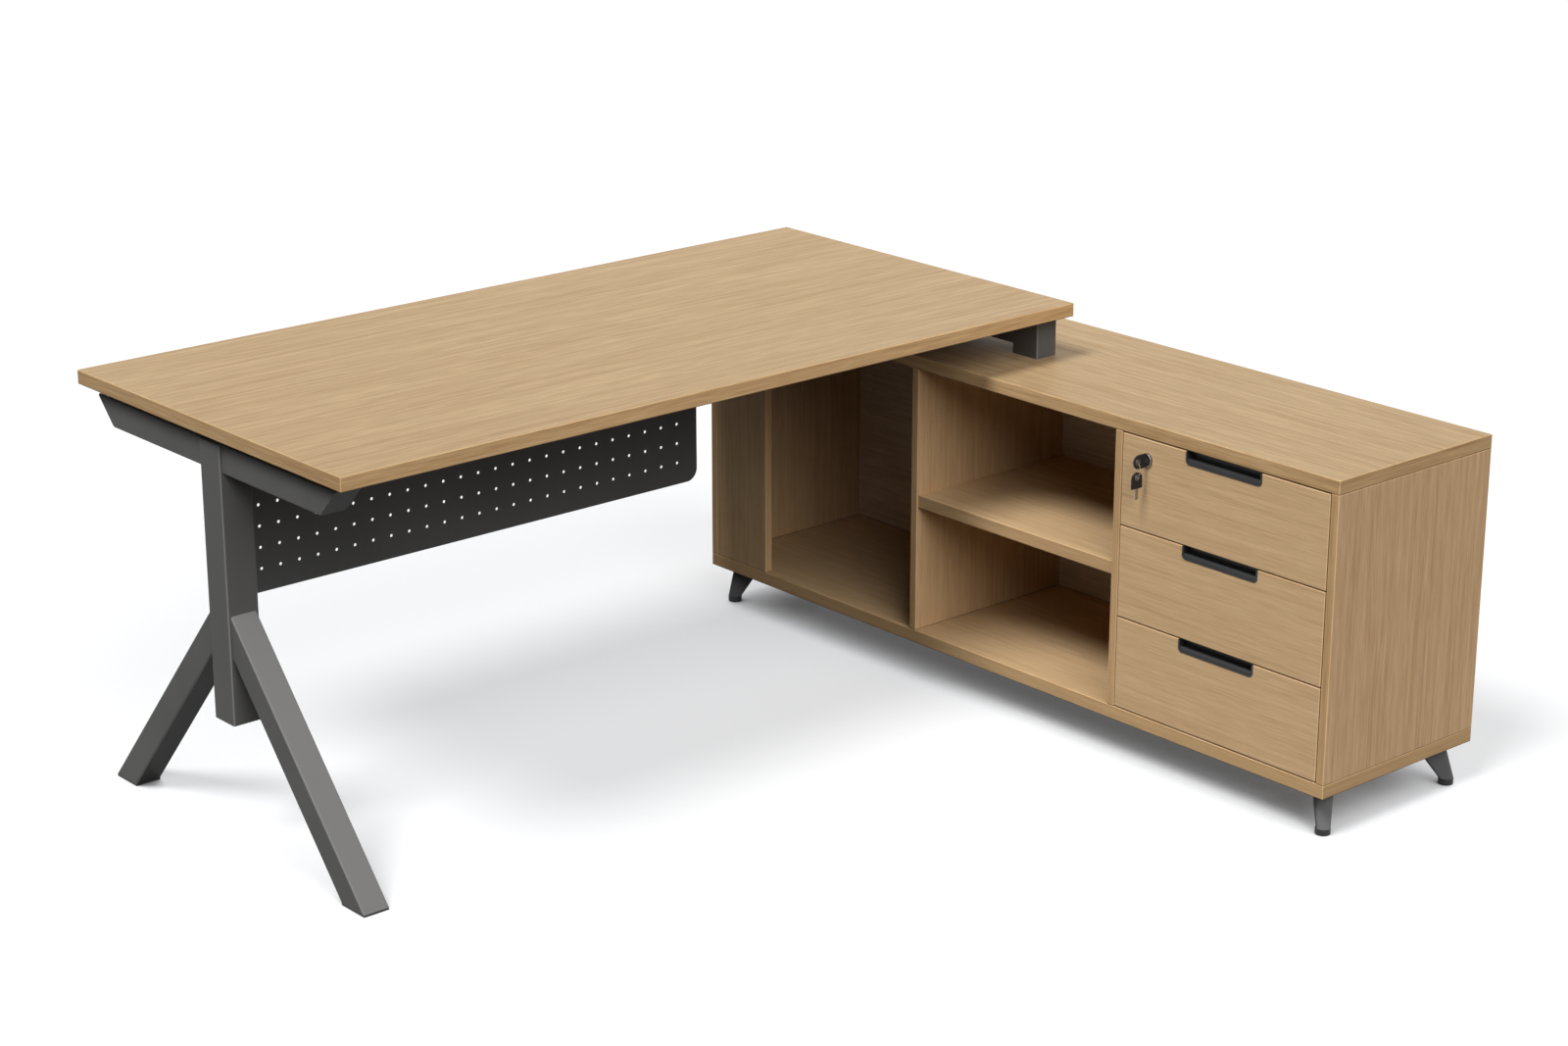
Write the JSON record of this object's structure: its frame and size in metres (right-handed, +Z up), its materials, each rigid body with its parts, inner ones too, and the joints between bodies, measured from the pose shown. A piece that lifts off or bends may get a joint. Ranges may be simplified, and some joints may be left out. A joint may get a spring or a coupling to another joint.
{
  "type": "executive desk",
  "caption": "L-shaped executive desk: oak desktop on a splayed steel leg and on a low side cabinet with drawers, lock, open shelves and a perforated modesty panel.",
  "frame": {"origin": "on the floor, below the middle of the whole desk's plan rectangle", "axes": "+X from the steel leg to the side cabinet, +Y away from the person who sits at the desk, +Z up"},
  "size_m": [1.8, 1.6, 0.75],
  "materials": {
    "desktop_oak": "light oak melamine, grain along the desktop",
    "cabinet_oak": "light oak melamine, grain along the cabinet",
    "front_oak": "light oak melamine, grain across the fronts",
    "upright_oak": "light oak melamine, grain upright",
    "box_board": "plain drawer board",
    "dowel_wood": "raw beech",
    "leg_steel": "graphite powder coat",
    "panel_steel": "black powder coat",
    "foot_metal": "dark grey satin paint",
    "glide_plastic": "black, matt",
    "pull_plastic": "black, fine satin",
    "fastener_steel": "zinc plated",
    "runner_zinc": "zinc plated",
    "lock_metal": "gunmetal plating",
    "lock_plug_metal": "gunmetal plating",
    "key_metal": "nickel plated",
    "key_plastic": "black, satin"
  },
  "bodies": {
    "desk": {"desktop": "desktop_oak", "cabinet_top": "cabinet_oak", "cabinet_bottom": "cabinet_oak", "shelf": "cabinet_oak", "back_panel": "cabinet_oak", "near_end_panel": "upright_oak", "far_end_panel": "upright_oak", "near_divider": "upright_oak", "far_divider": "upright_oak", "front_filler": "upright_oak", "carcass_pins": "dowel_wood", "leg_post": "leg_steel", "leg_strut_near": "leg_steel", "leg_strut_far": "leg_steel", "leg_beam_near": "leg_steel", "leg_beam_far": "leg_steel", "support_posts": "leg_steel", "support_beam": "leg_steel", "stretcher_rails": "leg_steel", "tube_end_plates": "leg_steel", "modesty_panel": "panel_steel", "panel_brackets": "panel_steel", "cabinet_feet": "foot_metal", "leg_glides": "glide_plastic", "desktop_spacers": "glide_plastic", "frame_fasteners": "fastener_steel", "cabinet_runners": "runner_zinc"},
    "top_drawer": {"top_drawer_front": "front_oak", "top_drawer_pull": "pull_plastic", "top_drawer_sides": "box_board", "top_drawer_back": "box_board", "top_drawer_bottom": "box_board", "top_drawer_runners": "runner_zinc", "lock_body": "lock_metal"},
    "top_slides": {"top_runner_slides": "runner_zinc"},
    "middle_drawer": {"middle_drawer_front": "front_oak", "middle_drawer_pull": "pull_plastic", "middle_drawer_sides": "box_board", "middle_drawer_back": "box_board", "middle_drawer_bottom": "box_board", "middle_drawer_runners": "runner_zinc"},
    "middle_slides": {"middle_runner_slides": "runner_zinc"},
    "bottom_drawer": {"bottom_drawer_front": "front_oak", "bottom_drawer_pull": "pull_plastic", "bottom_drawer_sides": "box_board", "bottom_drawer_back": "box_board", "bottom_drawer_bottom": "box_board", "bottom_drawer_runners": "runner_zinc"},
    "bottom_slides": {"bottom_runner_slides": "runner_zinc"},
    "lock_plug": {"lock_plug": "lock_plug_metal", "lock_cam": "lock_metal"},
    "key": {"key_blade": "key_metal", "key_cover": "key_plastic"},
    "spare_key": {"spare_key_blade": "key_metal", "spare_key_cover": "key_plastic", "key_link": "key_metal"},
    "glide_near_front": {"glide_near_front": "glide_plastic"},
    "glide_far_front": {"glide_far_front": "glide_plastic"},
    "glide_near_back": {"glide_near_back": "glide_plastic"},
    "glide_far_back": {"glide_far_back": "glide_plastic"}
  },
  "joints": [
    {"name": "top_drawer_slide", "type": "slide", "parent": "desk", "child": "top_drawer", "axis": [-1, 0, 0], "range_m": [0, 0.32]},
    {"name": "top_slides_travel", "type": "slide", "parent": "desk", "child": "top_slides", "axis": [-1, 0, 0], "range_m": [0, 0.16]},
    {"name": "middle_drawer_slide", "type": "slide", "parent": "desk", "child": "middle_drawer", "axis": [-1, 0, 0], "range_m": [0, 0.32]},
    {"name": "middle_slides_travel", "type": "slide", "parent": "desk", "child": "middle_slides", "axis": [-1, 0, 0], "range_m": [0, 0.16]},
    {"name": "bottom_drawer_slide", "type": "slide", "parent": "desk", "child": "bottom_drawer", "axis": [-1, 0, 0], "range_m": [0, 0.32]},
    {"name": "bottom_slides_travel", "type": "slide", "parent": "desk", "child": "bottom_slides", "axis": [-1, 0, 0], "range_m": [0, 0.16]},
    {"name": "lock_turn", "type": "hinge", "parent": "top_drawer", "child": "lock_plug", "pos_m": [0.5, -0.377, 0.58], "axis": [-1, 0, 0], "range_deg": [0, 90]},
    {"name": "key_pull", "type": "slide", "parent": "lock_plug", "child": "key", "axis": [-1, 0, 0], "range_m": [0, 0.026]},
    {"name": "spare_key_swing", "type": "hinge", "parent": "key", "child": "spare_key", "pos_m": [0.4745, -0.377, 0.5728], "axis": [-1, 0, 0], "range_deg": [-90, 0]},
    {"name": "near_front_glide_turn", "type": "hinge", "parent": "desk", "child": "glide_near_front", "pos_m": [0.538, -0.774, 0], "axis": [0, 0, 1], "continuous": true},
    {"name": "far_front_glide_turn", "type": "hinge", "parent": "desk", "child": "glide_far_front", "pos_m": [0.538, 0.774, 0], "axis": [0, 0, 1], "continuous": true},
    {"name": "near_back_glide_turn", "type": "hinge", "parent": "desk", "child": "glide_near_back", "pos_m": [0.871, -0.774, 0], "axis": [0, 0, 1], "continuous": true},
    {"name": "far_back_glide_turn", "type": "hinge", "parent": "desk", "child": "glide_far_back", "pos_m": [0.871, 0.774, 0], "axis": [0, 0, 1], "continuous": true}
  ],
  "couplings": [
    {"joint": "top_slides_travel", "follows": "top_drawer_slide", "ratio": 0.5},
    {"joint": "middle_slides_travel", "follows": "middle_drawer_slide", "ratio": 0.5},
    {"joint": "bottom_slides_travel", "follows": "bottom_drawer_slide", "ratio": 0.5},
    {"joint": "spare_key_swing", "follows": "lock_turn", "ratio": -1}
  ]
}
